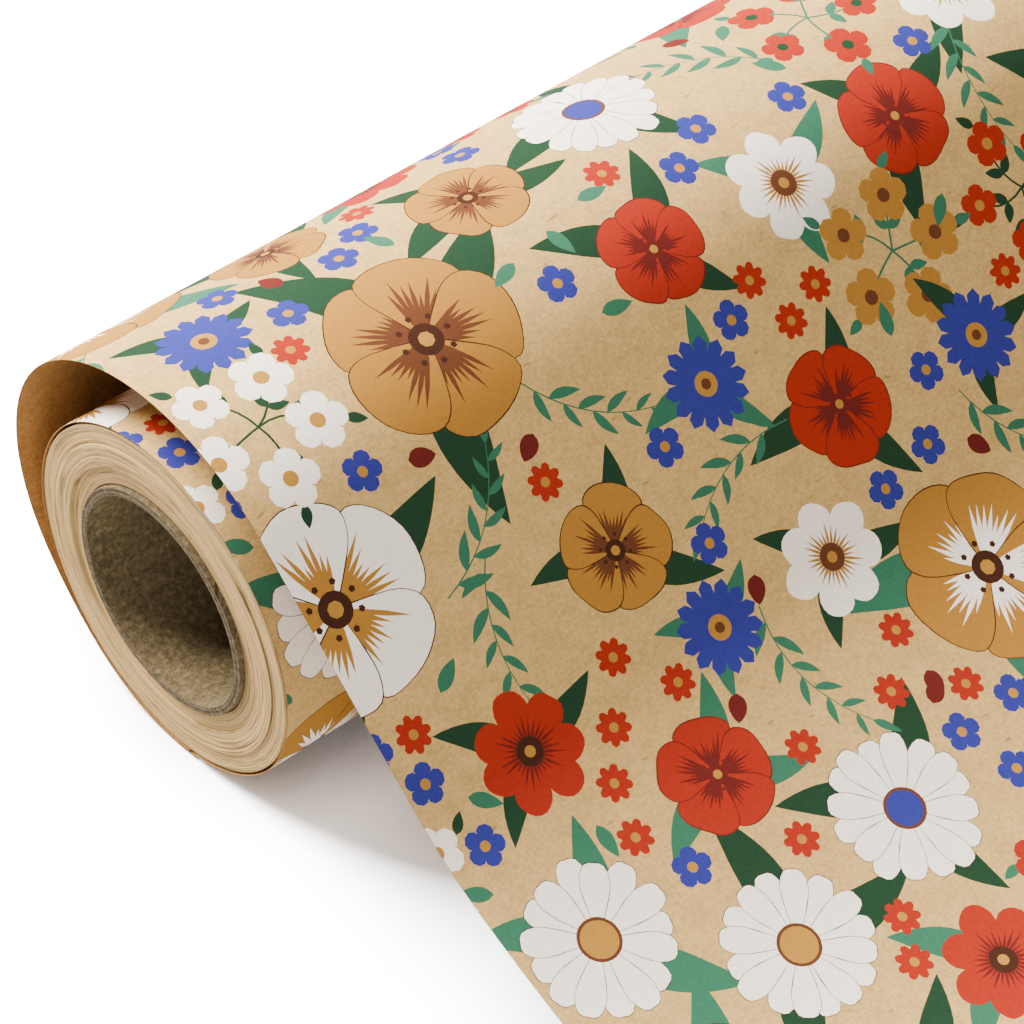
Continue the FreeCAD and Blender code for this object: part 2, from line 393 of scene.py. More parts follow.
# least area of a mark kept everywhere, in mm2, and how far a point may lie off its line, in mm
FINE_AREA = 2.6
THIN_LIMIT = 0.05
PACK_SHIFT = -149.0
REACH = {"bloom": 23.0, "daisy": 18.0, "poppy": 14.5, "wheel": 13.0, "aster": 10.5}
BLOOMS = (("ochre", "white", "umber"), ("ochre", "brown", "umber"), ("white", "ochre", "umber"))
POPPIES = (("red", "wine", "wine"), ("ochre", "brown", "umber"), ("red", "wine", "wine"))
POSIES = ((5.6, "red", "gold"), (6.6, "ochre", "brown"), (6.6, "white", "gold"), (5.6, "red", "pine"))
PENTAGON = 12.5
SCATTER_SEED = 29
DARTS = 900


def scattered(rng, wanted, taken, gap):
    """Places for things of the wanted radii, found by throwing darts: a dart stays where it is
    clear of everything taken, counted across the repeat's edges."""
    places = []
    for radius in wanted:
        for _ in range(DARTS):
            place = rng.uniform((0.0, 0.0), (REPEAT_U, REPEAT_S))
            if taken:
                away = np.abs(np.array([other for other, _ in taken]) - place)
                away = np.minimum(away, (REPEAT_U, REPEAT_S) - away)
                clear = np.hypot(away[:, 0], away[:, 1]) - np.array([reach for _, reach in taken])
                if clear.min() < radius + gap:
                    continue
            taken.append((place, radius))
            places.append((place, radius))
            break
    return places


def repeat_shapes():
    """Every shape of one repeat, in mm on the flat sheet, back to front: flowers scattered at
    random, largest first, with leaves behind them and sprigs and small flowers between."""
    rng = np.random.default_rng(SCATTER_SEED)
    kinds = ["bloom"] * 4 + ["daisy"] * 4 + ["poppy"] * 9 + ["wheel"] * 6 + ["aster"] * 6
    taken, back, front = [], [], []
    for index, kind in enumerate(kinds):
        for (u, s), radius in scattered(rng, [REACH[kind]], taken, 1.5):
            spin = rng.uniform(0, 360)
            dark = "pine" if index % 3 else "green"
            for side in range(3):
                length = radius * rng.uniform(1.45, 1.9)
                lean = spin + 120.0 * side + rng.uniform(-25, 25)
                back += turned(leaf(length, 0.30 * length, dark, 0.06 * length), u, s, lean)
            if kind == "bloom":
                shapes = bloom(radius, *BLOOMS[index % 3], 300 + index)
            elif kind == "daisy":
                shapes = daisy(radius, 15 + index % 3, "blue" if index % 2 else "gold", 300 + index)
            elif kind == "poppy":
                shapes = bloom(radius * rng.uniform(0.86, 1.0), *POPPIES[index % 3], 300 + index)
            elif kind == "wheel":
                inks = ("white", "ochre", "brown") if index % 2 else ("red", "wine", "umber")
                shapes = round_petals(radius, 7, *inks, 300 + index)
            else:
                shapes = aster(radius)
            front += turned(shapes, u, s, spin)
    for index, ((u, s), _) in enumerate(scattered(rng, [15.0] * 9, taken, 0.5)):
        corners = np.radians(np.arange(5) * 72.0 + rng.uniform(0, 72))
        places = np.stack([u + PENTAGON * np.cos(corners), s + PENTAGON * np.sin(corners)], -1)
        front += cluster(places, POSIES[index % 4], "green" if index % 2 else "pine", 5.0, 400 + 10 * index)
    for index, ((u, s), _) in enumerate(scattered(rng, [12.0] * 12, taken, -2.0)):
        spin = rng.uniform(0, 360)
        reach = 17.0 * np.array([math.cos(math.radians(spin)), math.sin(math.radians(spin))])
        back += turned(sprig(34.0, "green", 4.0, 4, 8.5, 38.0, 500 + index), u - reach[0], s - reach[1], spin)
    for index, ((u, s), _) in enumerate(scattered(rng, [4.6] * 60, taken, 0.8)):
        small = simple(4.6, "blue", "gold") if index % 2 else simple(4.2, "red", "gold", 8)
        front += turned(small, u, s, rng.uniform(0, 72))
    for index, ((u, s), _) in enumerate(scattered(rng, [3.4] * 30, taken, 0.4)):
        small = hip(6.5) if index % 3 == 0 else leaf(8.0, 3.4, "green")
        front += turned(small, u, s, rng.uniform(0, 360))
    return back + front


# ---------------------------------------------------------------- meshes


def tiled(shapes, width, low, high, shift=0.0, fine=(1e6, -1e6)):
    """The repeat laid edge to edge over 0..width by low..high, without what falls outside.
    Marks under FINE_AREA are only kept short of fine[0] across and beyond fine[1] along."""
    out = []
    boxes = []
    for points, ink in shapes:
        following = np.roll(points, -1, axis=0)
        area = 0.5 * abs((points[:, 0] * following[:, 1] - following[:, 0] * points[:, 1]).sum())
        boxes.append((points.min(0), points.max(0), area))
    for i in range(-1, int(width / REPEAT_U) + 2):
        for j in range(int(low // REPEAT_S) - 2, int(high // REPEAT_S) + 3):
            move = np.array([i * REPEAT_U, j * REPEAT_S + shift])
            for (points, ink), (least, most, area) in zip(shapes, boxes):
                a, b = least + move, most + move
                if area < FINE_AREA and (a[0] > fine[0] or b[1] < fine[1]):
                    continue
                if b[0] > 0.05 and a[0] < width - 0.05 and b[1] > low + 0.05 and a[1] < high - 0.05:
                    out.append((points + move, ink))
    return out


def plane_cut(points, edges, outlines):
    """Constrained triangulation of points, edges and closed outlines in the plane."""
    verts, _, triangles, _, _, origins = delaunay_2d_cdt(
        [tuple(p) for p in points], edges, outlines, 1 if outlines else 0, 1e-4, bool(outlines))
    return np.array([tuple(v) for v in verts]), np.array(triangles), origins


def thinned(points, edges, limit):
    """Edges without the points that lie within limit mm of the line between their neighbours."""
    for _ in range(3):
        ends = edges.ravel()
        order = np.argsort(ends, kind="stable")
        start = np.searchsorted(ends[order], np.arange(len(points)))
        two = np.nonzero(np.bincount(ends, minlength=len(points)) == 2)[0]
        first, second = order[start[two]], order[start[two] + 1]
        a, b = edges[first // 2, 1 - first % 2], edges[second // 2, 1 - second % 2]
        chord, offset = points[b] - points[a], points[two] - points[a]
        gap = np.abs(chord[:, 0] * offset[:, 1] - chord[:, 1] * offset[:, 0])
        straight = np.zeros(len(points), bool)
        straight[two] = gap < limit * np.linalg.norm(chord, axis=1)
        drop = straight[two] & ~(straight[a] & (a < two)) & ~(straight[b] & (b < two))
        keep = np.ones(len(edges), bool)
        keep[first[drop] // 2] = False
        keep[second[drop] // 2] = False
        edges = np.concatenate([edges[keep], np.stack([a[drop], b[drop]], -1)])
    return edges


def subdivide(shapes, width, low, high, grid_u, grid_s, rim=None, curved=None):
    """Triangles of a rectangle cut along the visible outlines of the shapes and a grid, which
    has three times the columns short of curved along. Returns points, triangles and the
    topmost shape's index, or -1.

    The first triangulation cuts along every outline. Its edges between different inks are the
    visible ones, and the second is made from those alone; a triangle of the second takes its
    ink from the triangle of the first that holds its middle."""
    us, ss = np.meshgrid(grid_u, grid_s)
    grid = np.stack([us.ravel(), ss.ravel()], -1)
    if rim is not None:
        inner = (grid[:, 0] > 1e-3) & (grid[:, 0] < width - 1e-3)
        inner &= (grid[:, 1] > low + 1e-3) & (grid[:, 1] < high - 1e-3)
        grid = np.concatenate([rim, grid[inner]])
    if curved is not None:
        step = grid_u[1] - grid_u[0]
        between = (grid_u[:-1, None] + step * np.array([1.0, 2.0]) / 3.0).ravel()
        us, ss = np.meshgrid(between, grid_s[(grid_s > low + 1e-3) & (grid_s < curved)])
        grid = np.concatenate([grid, np.stack([us.ravel(), ss.ravel()], -1)])
    corners = np.array([(0.0, low), (width, low), (width, high), (0.0, high)])
    if not shapes:
        verts, triangles, _ = plane_cut(np.concatenate([grid, corners]), [], [])
        return verts, triangles, np.full(len(triangles), -1)
    points = [corners]
    faces = [[0, 1, 2, 3]]
    count = 4
    for outline, ink in shapes:
        following = np.roll(outline, -1, axis=0)
        area = (outline[:, 0] * following[:, 1] - following[:, 0] * outline[:, 1]).sum()
        points.append(outline if area > 0 else outline[::-1])
        faces.append(list(range(count, count + len(outline))))
        count += len(outline)
    verts, _, triangles, _, _, origins = delaunay_2d_cdt(
        [tuple(p) for p in np.concatenate(points)], [], faces, 0, 1e-4, True)
    verts = np.array([tuple(v) for v in verts])
    keep = [k for k, ids in enumerate(origins) if 0 in ids]
    tops = np.array([max(origins[k]) - 1 for k in keep])
    triangles = np.array([triangles[k] for k in keep])
    names = sorted(INKS)
    inks = np.array([names.index(ink) for _, ink in shapes] + [len(names)])[tops]
    sides = [triangles[:, [0, 1]], triangles[:, [1, 2]], triangles[:, [2, 0]]]
    edges = np.sort(np.concatenate(sides), axis=1)
    owner = np.tile(np.arange(len(triangles)), 3)
    order = np.lexsort((edges[:, 1], edges[:, 0]))
    edges, owner = edges[order], owner[order]
    same = (edges[1:] == edges[:-1]).all(1)
    differs = inks[owner[1:]] != inks[owner[:-1]]
    shared = np.zeros(len(edges), bool)
    shared[1:] |= same
    shared[:-1] |= same
    visible = thinned(verts, np.concatenate([edges[:-1][same & differs], edges[~shared]]), THIN_LIMIT)
    used, inverse = np.unique(visible, return_inverse=True)
    seen = verts[used]
    final, faces2, _ = plane_cut(np.concatenate([seen, grid, corners]), inverse.reshape(-1, 2).tolist(), [])
    tree = BVHTree.FromPolygons(
        np.column_stack([verts, np.zeros(len(verts))]).tolist(), triangles.tolist(), all_triangles=True)
    middle = final[faces2].mean(1)
    down = (0.0, 0.0, -1.0)
    tops2 = np.empty(len(faces2), int)
    for k, (u, s) in enumerate(middle.tolist()):
        hit = tree.ray_cast((u, s, 1.0), down)[2]
        tops2[k] = -1 if hit is None else tops[hit]
    return final, faces2, tops2


def rim_order(points, width, low, high):
    """Indices of the points on the rectangle's edge, in order round it."""
    near = 1e-3
    u, s = points[:, 0], points[:, 1]
    sides = (
        (s < low + near, u), (u > width - near, s), (s > high - near, -u), (u < near, -s),
    )
    order = []
    for mask, key in sides:
        index = np.nonzero(mask)[0]
        for k in index[np.argsort(key[index])]:
            if not order or order[-1] != k:
                order.append(int(k))
    return order[:-1] if order[0] == order[-1] else order


def build_mesh(name, points, faces, normals=None, smooth=True):
    """A mesh from point and face arrays, in mm, with its object linked to the scene."""
    mesh = bpy.data.meshes.new(name)
    points = np.asarray(points, np.float32) * MM
    loops = np.concatenate([np.asarray(f, np.int32).ravel() for f in faces])
    sizes = np.concatenate([np.full(len(f), np.asarray(f).shape[1], np.int32) for f in faces])
    mesh.vertices.add(len(points))
    mesh.vertices.foreach_set("co", points.ravel())
    mesh.loops.add(len(loops))
    mesh.loops.foreach_set("vertex_index", loops)
    mesh.polygons.add(len(sizes))
    mesh.polygons.foreach_set("loop_start", np.concatenate([[0], np.cumsum(sizes)[:-1]]).astype(np.int32))
    mesh.polygons.foreach_set("use_smooth", np.full(len(sizes), smooth))
    mesh.update(calc_edges=True)
    mesh.validate()
    if normals is not None:
        mesh.normals_split_custom_set_from_vertices(normals.tolist())
    piece = bpy.data.objects.new(name, mesh)
    bpy.context.scene.collection.objects.link(piece)
    return piece, loops


def printed_sheet(name, place, low, high, grid_u, grid_s, front, back, shapes, curved):
    """A closed sheet whose front is cut along the printed shapes. place(u, s, lift) gives the
    point and outward normal of a point of the flat sheet raised by lift mm. The sheet bends
    tightly short of curved along."""
    points, triangles, tops = subdivide(shapes, WEB_WIDTH, low, high, grid_u, grid_s, None, curved)
    rim = rim_order(points, WEB_WIDTH, low, high)
    plain, plain_triangles, _ = subdivide([], WEB_WIDTH, low, high, grid_u, grid_s, points[rim])
    plain_rim = rim_order(plain, WEB_WIDTH, low, high)
    if len(plain_rim) != len(rim):
        raise RuntimeError("the sheet's faces differ at the edge: %d and %d" % (len(rim), len(plain_rim)))
    top, top_normal = place(points[:, 0], points[:, 1], front)
    under, under_normal = place(plain[:, 0], plain[:, 1], back)
    count = len(points)
    a = np.array(rim)
    b = np.array(plain_rim) + count
    edge = np.stack([a, np.roll(a, -1), np.roll(b, -1), b], -1)
    piece, loops = build_mesh(
        name,
        np.concatenate([top, under]),
        [triangles[:, ::-1], plain_triangles + count, edge],
        np.concatenate([top_normal, -under_normal]),
    )
    mesh = piece.data
    flat = np.concatenate([points, plain])[loops] * MM
    mesh.uv_layers.new(name="paper").data.foreach_set("uv", flat.astype(np.float32).ravel())
    table = np.array([INKS[ink] + (1.0,) for _, ink in shapes] + [KRAFT])
    ink = np.zeros((len(loops), 4), np.float32)
    ink[: 3 * len(triangles)] = np.repeat(table[tops], 3, axis=0)
    mesh.color_attributes.new("ink", "FLOAT_COLOR", "CORNER").data.foreach_set("color", ink.ravel())
    side = np.zeros(len(mesh.polygons), np.int32)
    side[len(triangles):] = 1
    return piece, side


def ring_solid(name, profile, angles):
    """A closed solid of revolution about X. profile(angle array) returns radius and x arrays of
    shape (profile points, angles); the profile is a closed loop."""
    radius, x = profile(angles)
    rows, columns = radius.shape
    points = np.stack([x, -radius * np.cos(angles), radius * np.sin(angles)], -1).reshape(-1, 3)
    i, j = np.meshgrid(np.arange(rows), np.arange(columns), indexing="ij")
    i2, j2 = (i + 1) % rows, (j + 1) % columns
    quads = np.stack([i * columns + j, i * columns + j2, i2 * columns + j2, i2 * columns + j], -1)
    return build_mesh(name, points, [quads.reshape(-1, 4)]), rows, columns


def winding(radius, angles):
    """Continuous turn count of the spiral web at a radius and angle about the core."""
    turns = (radius - FIRST_TURN) / TURN_PITCH - angles / (2.0 * math.pi)
    return np.floor(turns) + angles / (2.0 * math.pi)


def web_noise(count, seed, low=0.02, high=3.0, terms=14):
    """Sum of sines along the wound web, weaker as they get quicker, about -1 to 1."""
    rng = np.random.default_rng(seed)
    rate = np.geomspace(low, high, terms) * rng.uniform(0.9, 1.1, terms)
    weight = rate ** -0.25
    phase = rng.uniform(0.0, 2.0 * math.pi, terms)
    total = sum(w * np.sin(2.0 * math.pi * f * count + p) for w, f, p in zip(weight, rate, phase))
    return total / np.sqrt((weight**2).sum())


# ---------------------------------------------------------------- materials


class Nodes:
    """Small helper that adds shader nodes and links sockets by name."""

    def __init__(self, name, colour, roughness):
        self.material = bpy.data.materials.new(name)
        self.material.use_nodes = True
        self.tree = self.material.node_tree
        self.shader = self.tree.nodes["Principled BSDF"]
        self.shader.inputs["Base Color"].default_value = (*colour, 1.0)
        self.shader.inputs["Roughness"].default_value = roughness
        self.shader.inputs["Specular IOR Level"].default_value = 0.03

    def add(self, kind, settings=(), **inputs):
        node = self.tree.nodes.new(kind)
        for key, value in dict(settings).items():
            setattr(node, key, value)
        for key, value in inputs.items():
            numbered = key[0] == "i" and key[1:].isdigit()
            self.feed(node.inputs[int(key[1:]) if numbered else key.replace("_", " ")], value)
        return node

    def feed(self, socket, value):
        if isinstance(value, bpy.types.NodeSocket):
            self.tree.links.new(value, socket)
        elif isinstance(value, bpy.types.Node):
            self.tree.links.new(value.outputs[0], socket)
        else:
            socket.default_value = value

    def math(self, operation, a, b=0.0, clamp=False):
        return self.add("ShaderNodeMath", {"operation": operation, "use_clamp": clamp}, i0=a, i1=b).outputs[0]

    def mix(self, factor, a, b, blend="MIX"):
        node = self.add("ShaderNodeMix", {"data_type": "RGBA", "blend_type": blend})
        self.feed(node.inputs[0], factor)
        self.feed(node.inputs[6], a if not isinstance(a, tuple) else (*a[:3], 1.0))
        self.feed(node.inputs[7], b if not isinstance(b, tuple) else (*b[:3], 1.0))
        return node.outputs[2]

    def mixed(self, factor, a, b):
        """Number a where the factor is 0 and b where it is 1."""
        return self.math("ADD", self.math("MULTIPLY", factor, self.math("SUBTRACT", b, a)), a)

    def noise(self, vector, scale, detail=2.0, roughness=0.5, stretch=(1, 1, 1)):
        mapping = self.add("ShaderNodeMapping", Vector=vector, Scale=stretch)
        node = self.add("ShaderNodeTexNoise", Vector=mapping, Scale=scale, Detail=detail, Roughness=roughness)
        return node.outputs[0]

    def ramp(self, value, low, high):
        node = self.add("ShaderNodeMapRange", {"clamp": True}, i0=value, i1=low, i2=high)
        return node.outputs[0]

    def bump(self, height, strength, distance):
        node = self.add("ShaderNodeBump", Strength=strength, Distance=distance, Height=height)
        self.feed(self.shader.inputs["Normal"], node)


def kraft_colour(nodes, vector, light, dark, fleck=0.5):
    """Kraft paper's colour: soft mottle, fine fibres lying both ways and a few dark specks."""
    mottle = nodes.noise(vector, 170.0, 3.0, 0.6)
    along = nodes.noise(vector, 1500.0, 3.0, 0.65, (0.40, 1.0, 1.0))
    across = nodes.noise(vector, 1700.0, 3.0, 0.65, (1.0, 0.40, 1.0))
    fibre = nodes.math("MULTIPLY", nodes.math("ADD", along, across), 0.5)
    blend = nodes.math("ADD", nodes.math("MULTIPLY", mottle, 0.25), nodes.math("MULTIPLY", fibre, 0.75))
    colour = nodes.mix(nodes.ramp(blend, 0.41, 0.59), dark, light)
    specks = nodes.ramp(nodes.noise(vector, 620.0, 1.0, 0.5, (0.30, 1.0, 1.0)), 0.72, 0.77)
    colour = nodes.mix(nodes.math("MULTIPLY", specks, fleck), colour, tuple(0.30 * c for c in dark))
    return colour, fibre


def printed_material(settings):
    """Kraft paper with flat inks from the sheet's own ink attribute."""
    nodes = Nodes("printed_kraft", settings.kraft, 0.70)
    paper = nodes.add("ShaderNodeUVMap", {"uv_map": "paper"}).outputs[0]
    light = tuple(settings.kraft)
    dark = tuple(0.69 * c for c in settings.kraft)
    colour, fibre = kraft_colour(nodes, paper, light, dark)
    ink = nodes.add("ShaderNodeAttribute", {"attribute_name": "ink", "attribute_type": "GEOMETRY"})
    grain = nodes.math("ADD", 0.70, nodes.math("MULTIPLY", fibre, 0.60))
    grey = nodes.add("ShaderNodeCombineColor", i0=grain, i1=grain, i2=grain).outputs[0]
    inked = nodes.mix(1.0, ink.outputs["Color"], grey, "MULTIPLY")
    cover = nodes.math("MULTIPLY", ink.outputs["Alpha"], settings.ink_cover)
    nodes.feed(nodes.shader.inputs["Base Color"], nodes.mix(cover, colour, inked))
    nodes.bump(fibre, 0.22, 0.00006)
    return nodes.material


def back_material(settings):
    """Plain kraft paper for the unprinted side and cut edges, darker than the printed side's kraft: partly
    the side's own tone and partly painted shade for the inside of the loop.
    """
    nodes = Nodes("plain_kraft", settings.kraft_back_and_shade, 0.6)
    paper = nodes.add("ShaderNodeUVMap", {"uv_map": "paper"}).outputs[0]
    light = tuple(settings.kraft_back_and_shade)
    dark = tuple(0.62 * c for c in settings.kraft_back_and_shade)
    colour, fibre = kraft_colour(nodes, paper, light, dark, 0.3)
    nodes.feed(nodes.shader.inputs["Base Color"], colour)
    nodes.bump(fibre, 0.25, 0.00006)
    return nodes.material


def wound_material(settings):
    """Cut ends of the wound turns, tinted turn by turn by the piece's edge attribute."""
    nodes = Nodes("wound_edges", settings.end_colour, 0.7)
    tint = nodes.add("ShaderNodeAttribute", {"attribute_name": "edge", "attribute_type": "GEOMETRY"})
    place = nodes.add("ShaderNodeTexCoord").outputs["Object"]
    grain = nodes.ramp(nodes.noise(place, 2400.0, 2.0, 0.6), 0.3, 0.7)
    base = nodes.mix(grain, tuple(0.84 * c for c in settings.end_colour), tuple(settings.end_colour))
    split = nodes.add("ShaderNodeSeparateXYZ", i0=place)
    x, y, z = split.outputs
    radius = nodes.math("SQRT", nodes.math("ADD", nodes.math("MULTIPLY", y, y), nodes.math("MULTIPLY", z, z)))
    rings = nodes.add(
        "ShaderNodeCombineXYZ", i0=nodes.math("MULTIPLY", radius, 10.0), i1=nodes.math("MULTIPLY", y, 0.30),
        i2=nodes.math("MULTIPLY", z, 0.30)).outputs[0]
    fine = nodes.ramp(nodes.noise(rings, 210.0, 2.0, 0.60), 0.38, 0.47)
    broad = nodes.ramp(nodes.noise(rings, 62.0, 1.0, 0.5), 0.30, 0.44)
    lines = nodes.math("MULTIPLY", nodes.math("ADD", 0.52, nodes.math("MULTIPLY", fine, 0.48)),
                       nodes.math("ADD", 0.70, nodes.math("MULTIPLY", broad, 0.30)))
    lined = nodes.add("ShaderNodeCombineColor", i0=lines, i1=lines, i2=lines).outputs[0]
    base = nodes.mix(1.0, base, lined, "MULTIPLY")
    nodes.feed(nodes.shader.inputs["Base Color"], nodes.mix(1.0, base, tint.outputs["Color"], "MULTIPLY"))
    nodes.bump(grain, 0.25, 0.00008)
    return nodes.material


def board_material(settings, name, colour, seam):
    """Grey-brown chipboard with fibre mottle, light flecks and a helical seam in the bore."""
    nodes = Nodes(name, colour, 0.85)
    place = nodes.add("ShaderNodeTexCoord").outputs["Object"]
    split = nodes.add("ShaderNodeSeparateXYZ", i0=place)
    x, y, z = split.outputs
    turn = nodes.math("DIVIDE", nodes.math("ARCTAN2", z, y), 2.0 * math.pi)
    coarse = nodes.noise(place, 700.0, 4.0, 0.7)
    fine = nodes.noise(place, 2600.0, 3.0, 0.7)
    blend = nodes.math("ADD", nodes.math("MULTIPLY", coarse, 0.6), nodes.math("MULTIPLY", fine, 0.4))
    pale = tuple(min(1.0, 1.25 * c) for c in colour)
    shade = nodes.mix(nodes.ramp(blend, 0.42, 0.58), tuple(0.55 * c for c in colour), pale)
    fleck = nodes.ramp(nodes.noise(place, 700.0, 1.0, 0.5), 0.66, 0.74)
    shade = nodes.mix(nodes.math("MULTIPLY", fleck, 0.5), shade, tuple(min(1.0, 1.9 * c) for c in colour))
    height = nodes.math("ADD", coarse, nodes.math("MULTIPLY", fine, 0.6))
    if seam:
        pitch = nodes.math("FRACT", nodes.math("ADD", nodes.math("DIVIDE", x, 0.118), turn))
        gap = nodes.ramp(nodes.math("ABSOLUTE", nodes.math("SUBTRACT", pitch, 0.5)), 0.002, 0.006)
        shade = nodes.mix(gap, tuple(0.35 * c for c in colour), shade)
        height = nodes.math("ADD", height, gap)
    nodes.feed(nodes.shader.inputs["Base Color"], shade)
    nodes.bump(height, 0.7, 0.0002)
    return nodes.material


def plain_material(name, colour, roughness):
    """One even colour."""
    return Nodes(name, colour, roughness).material


def floor_material():
    """Matt white floor, brighter to the camera than to the light that it bounces, with a painted contact
    shadow: darker to the camera in the nooks where it meets the roll, where an ambient occlusion node finds
    the roll close by."""
    nodes = Nodes("floor_white", (0.8, 0.8, 0.8), 1.0)
    # painted contact shadow: ambient occlusion within 6 cm lowers the floor's brightness to the camera from
    # 4.5 down to 0.5 near the roll
    painted_contact_shadow = nodes.add("ShaderNodeAmbientOcclusion", {"samples": 8}, Distance=0.060).outputs["AO"]
    shown = nodes.add("ShaderNodeMapRange", {"clamp": True}, i0=painted_contact_shadow, i1=0.25, i2=0.95, i3=0.5, i4=4.5)
    camera_ray = nodes.add("ShaderNodeLightPath").outputs["Is Camera Ray"]
    gain = nodes.mixed(camera_ray, 0.55, shown.outputs[0])
    grey = nodes.add("ShaderNodeCombineColor", i0=gain, i1=gain, i2=gain)
    matt = nodes.add("ShaderNodeBsdfDiffuse", i0=grey)
    nodes.feed(nodes.tree.nodes["Material Output"].inputs["Surface"], matt)
    return nodes.material


# ---------------------------------------------------------------- add-on


class WrapRollSettings(bpy.types.PropertyGroup):
    """Sizes and colours of the wrapping paper roll."""

    kraft: bpy.props.FloatVectorProperty(
        name="Kraft", description="Colour of the paper's printed side between the inks",
        subtype="COLOR", size=3, default=(0.600, 0.365, 0.118), min=0.0, max=1.0)
    # the unprinted side's own darker kraft, darkened further as painted shade for the inside of the loop,
    # where the sheet's back is seen
    kraft_back_and_shade: bpy.props.FloatVectorProperty(
        name="Kraft back", description="Colour of the unprinted side",
        subtype="COLOR", size=3, default=(0.315, 0.148, 0.042), min=0.0, max=1.0)
    end_colour: bpy.props.FloatVectorProperty(
        name="Wound ends", description="Colour of the cut ends of the wound paper",
        subtype="COLOR", size=3, default=(0.455, 0.285, 0.108), min=0.0, max=1.0)
    board: bpy.props.FloatVectorProperty(
        name="Core board", description="Colour of the core's cut ends",
        subtype="COLOR", size=3, default=(0.098, 0.072, 0.043), min=0.0, max=1.0)
    bore: bpy.props.FloatVectorProperty(
        name="Core inside", description="Colour of the core's inner face",
        subtype="COLOR", size=3, default=(0.098, 0.070, 0.034), min=0.0, max=1.0)
    ink_cover: bpy.props.FloatProperty(
        name="Ink cover", description="How fully the inks hide the kraft",
        default=0.99, min=0.0, max=1.0, subtype="FACTOR")
    paper_thickness: bpy.props.FloatProperty(
        name="Paper thickness", description="Thickness of one layer of the paper",
        default=0.00016, min=0.00005, max=0.0003, unit="LENGTH", precision=5)
    wave: bpy.props.FloatProperty(
        name="Wave", description="Height of the drawn sheet's gentle waves",
        default=0.0003, min=0.0, max=0.001, unit="LENGTH", precision=5)
    telescoping: bpy.props.FloatProperty(
        name="Telescoping", description="How far turns stand out of the wound ends",
        default=0.00006, min=0.0, max=0.0006, unit="LENGTH", precision=5)


def give(piece, materials, side=None):
    """Assign materials, with a material index for each face if given."""
    for material in materials:
        piece.data.materials.append(material)
    if side is not None:
        piece.data.polygons.foreach_set("material_index", side)
    piece.data.update()


class WRAPROLL_OT_core(bpy.types.Operator):
    """Build the four chipboard plies of the core"""

    bl_idname = "wraproll.core"
    bl_label = "Core plies"

    def execute(self, context):
        """Each ply is a tube: a loop of end points and wall points turned about X, its ends
        roughened by sines of the angle."""
        settings = context.scene.wrap_roll
        face = board_material(settings, "core_board_inside", tuple(settings.bore), True)
        edge = board_material(settings, "core_board_edge", tuple(settings.board), False)
        angles = np.linspace(0.0, 2.0 * math.pi, 288, endpoint=False)
        for ply in range(4):
            low = BORE_RADIUS + ply * PLY
            high = low + PLY - 0.03
            rng = np.random.default_rng(200 + ply)
            ends = rng.uniform(-0.18, 0.0, 2)

            def profile(a, low=low, high=high, ends=ends, ply=ply):
                steps = np.array([0.0, 0.12, 0.35, 0.65, 0.88, 1.0])
                drop = np.array([0.06, 0.01, 0.0, 0.0, 0.01, 0.06])
                rough = 0.05 * web_noise(a * 9.0 / (2 * math.pi) * 8, 210 + ply, 1.0, 9.0, 8)
                radius, x = [], []
                for sign, order in ((-1.0, 1), (1.0, -1)):
                    for step, fall in zip(steps[::order], drop[::order]):
                        jag = rough * np.cos(2.0 * a * round(3 + 4 * step)) - abs(ends[0 if sign < 0 else 1])
                        radius.append(np.full_like(a, low + (high - low) * step))
                        x.append(sign * (0.5 * CORE_LENGTH - fall - 0.05 + np.minimum(jag, 0.04)))
                return np.array(radius), np.array(x)

            (piece, loops), rows, columns = ring_solid("core_ply_%d_board" % (ply + 1), profile, angles)
            row = np.arange(rows * columns) // columns
            give(piece, [edge, face], np.where((row == 5) | (row == rows - 1), 1, 0).astype(np.int32))
            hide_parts("core_ply_%d" % (ply + 1))
            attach(piece, "roll")
        return {"FINISHED"}


class WRAPROLL_OT_starter(bpy.types.Operator):
    """Give the starter strip its adhesive tape finish"""

    bl_idname = "wraproll.starter"
    bl_label = "Starter strip"

    def execute(self, context):
        """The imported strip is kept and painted."""
        strip = FRAME["nodes"]["starter_strip"]
        strip.data.materials.clear()
        strip.data.materials.append(plain_material("starter_tape", (0.62, 0.56, 0.40), 0.45))
        return {"FINISHED"}


BANDS = (
    ("inner_turns", FIRST_TURN, 31.4, 0.5),
    ("middle_turns", 31.4, 36.8, -0.2),
    ("outer_turns", 36.8, 41.2, 0.15),
)


